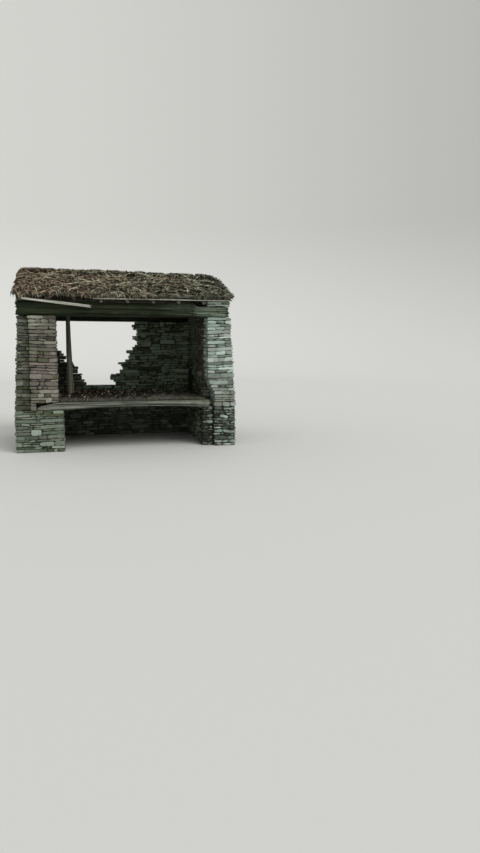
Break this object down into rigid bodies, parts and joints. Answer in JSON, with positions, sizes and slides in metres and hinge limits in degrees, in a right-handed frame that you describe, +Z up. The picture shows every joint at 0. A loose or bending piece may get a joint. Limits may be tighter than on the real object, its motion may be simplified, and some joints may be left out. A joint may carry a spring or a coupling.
{
  "type": "ruined watermill house",
  "caption": "Small ruined drystone watermill house: open front under a timber lintel, open undercroft below a sill beam, broken rear wall, lapped slate roof with leaf litter.",
  "frame": {"origin": "centre of the footprint at ground level", "axes": "+X to the right along the open front, +Y from the front into the house, +Z up"},
  "size_m": [4.42, 3.2494, 3.71],
  "materials": {
    "schist": "drystone schist, rough",
    "dark_schist": "drystone schist, weathered and stained",
    "old_timber": "silvered, cracked hewn timber",
    "stained_timber": "dark green-brown stained hewn timber",
    "pole_timber": "rough poles with bark traces",
    "pale_board": "bleached split board",
    "roof_slate": "rough split slate",
    "dead_litter": "dry dead leaves and twigs, matt"
  },
  "bodies": {
    "root": {"left_pier_base": "schist", "left_pier": "schist", "right_pier": "schist", "left_packing_stones": "schist", "right_packing_stones": "schist", "right_pier_base": "dark_schist", "left_base_wall": "dark_schist", "right_base_wall": "dark_schist", "rear_base_wall": "dark_schist", "left_side_wall": "dark_schist", "right_side_wall": "dark_schist", "rear_wall": "dark_schist", "rear_wall_stub": "dark_schist", "sill_beam": "old_timber", "mid_floor_beam": "old_timber", "rear_floor_beam": "old_timber", "floor_boards": "old_timber", "front_roof_boards": "old_timber", "rear_roof_boards": "old_timber", "front_lintel": "stained_timber", "inner_lintel": "stained_timber", "rear_wall_plate": "pole_timber", "ridge_beam": "pole_timber", "front_purlin": "pole_timber", "rear_purlin": "pole_timber", "front_rafters": "pole_timber", "rear_rafters": "pole_timber", "prop_post": "pole_timber", "loose_eaves_board": "pale_board", "right_eaves_board": "pale_board", "front_slates_1": "roof_slate", "front_slates_2": "roof_slate", "front_slates_3": "roof_slate", "front_slates_4": "roof_slate", "front_slates_5": "roof_slate", "front_slates_6": "roof_slate", "rear_slates_1": "roof_slate", "rear_slates_2": "roof_slate", "rear_slates_3": "roof_slate", "rear_slates_4": "roof_slate", "rear_slates_5": "roof_slate", "rear_slates_6": "roof_slate", "ridge_slates": "roof_slate", "front_litter": "dead_litter", "rear_litter": "dead_litter"}
  },
  "joints": []
}
